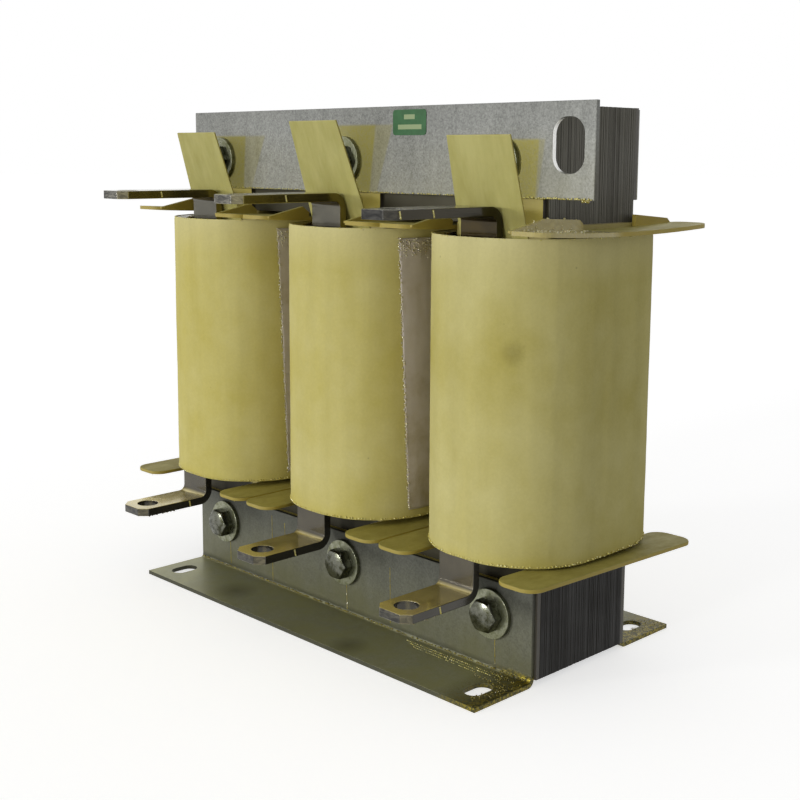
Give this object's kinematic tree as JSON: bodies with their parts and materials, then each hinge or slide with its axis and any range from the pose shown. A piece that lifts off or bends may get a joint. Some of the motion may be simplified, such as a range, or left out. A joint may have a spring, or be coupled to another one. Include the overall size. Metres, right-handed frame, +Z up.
{
  "type": "motor reactor",
  "caption": "Three-phase iron-core motor reactor with upright coils, bent flat-bar terminals above and below, and folded foot brackets with slots.",
  "frame": {"origin": "on the floor in the middle of the front foot, between its two slots", "axes": "+X along the core towards the lifting hole, +Y from the terminal side to the back, +Z up"},
  "size_m": [0.3611, 0.2138, 0.3072],
  "materials": {
    "core_steel": "stacked sheet steel, edges varnished",
    "gap_board": "glass laminate",
    "pressboard": "varnished pressboard",
    "galvanised_sheet": "galvanised, spangled, with varnish runs",
    "zinc_fasteners": "bright zinc",
    "sleeve_plastic": "plain",
    "former_board": "varnished glass laminate",
    "winding_foil": "foil and paper edges under varnish",
    "wrap_paper": "varnished insulating paper",
    "glass_cloth": "wrinkled, varnished",
    "terminal_bar": "flat bar, partly varnish coated",
    "end_board": "varnished board",
    "lead_strip": "varnished board",
    "green_label": "satin"
  },
  "bodies": {
    "root": {"bolt_sleeves": "sleeve_plastic", "coil_former_u": "former_board", "coil_former_v": "former_board", "coil_former_w": "former_board", "flat_washers": "zinc_fasteners", "front_clamp_plate": "galvanised_sheet", "front_foot_bracket": "galvanised_sheet", "front_lower_liner": "pressboard", "front_upper_liner": "pressboard", "gap_spacers_u": "gap_board", "gap_spacers_v": "gap_board", "gap_spacers_w": "gap_board", "glass_cloth_u": "glass_cloth", "glass_cloth_v": "glass_cloth", "hex_nuts": "zinc_fasteners", "inspection_label": "green_label", "insulating_strip_u": "lead_strip", "insulating_strip_v": "lead_strip", "insulating_strip_w": "lead_strip", "leg_lower_u": "core_steel", "leg_lower_v": "core_steel", "leg_lower_w": "core_steel", "leg_upper_u": "core_steel", "leg_upper_v": "core_steel", "leg_upper_w": "core_steel", "lower_board_left_u": "end_board", "lower_board_left_v": "end_board", "lower_board_left_w": "end_board", "lower_board_right_u": "end_board", "lower_board_right_v": "end_board", "lower_board_right_w": "end_board", "lower_bolts": "zinc_fasteners", "lower_terminal_u": "terminal_bar", "lower_terminal_v": "terminal_bar", "lower_terminal_w": "terminal_bar", "lower_yoke": "core_steel", "outer_wrap_u": "wrap_paper", "outer_wrap_v": "wrap_paper", "outer_wrap_w": "wrap_paper", "rear_clamp_plate": "galvanised_sheet", "rear_foot_bracket": "galvanised_sheet", "rear_lower_liner": "pressboard", "rear_upper_liner": "pressboard", "spring_washers": "zinc_fasteners", "upper_board_left_u": "end_board", "upper_board_left_v": "end_board", "upper_board_left_w": "end_board", "upper_board_right_u": "end_board", "upper_board_right_v": "end_board", "upper_board_right_w": "end_board", "upper_bolts": "zinc_fasteners", "upper_terminal_u": "terminal_bar", "upper_terminal_v": "terminal_bar", "upper_terminal_w": "terminal_bar", "upper_yoke": "core_steel", "winding_u": "winding_foil", "winding_v": "winding_foil", "winding_w": "winding_foil"}
  },
  "joints": []
}
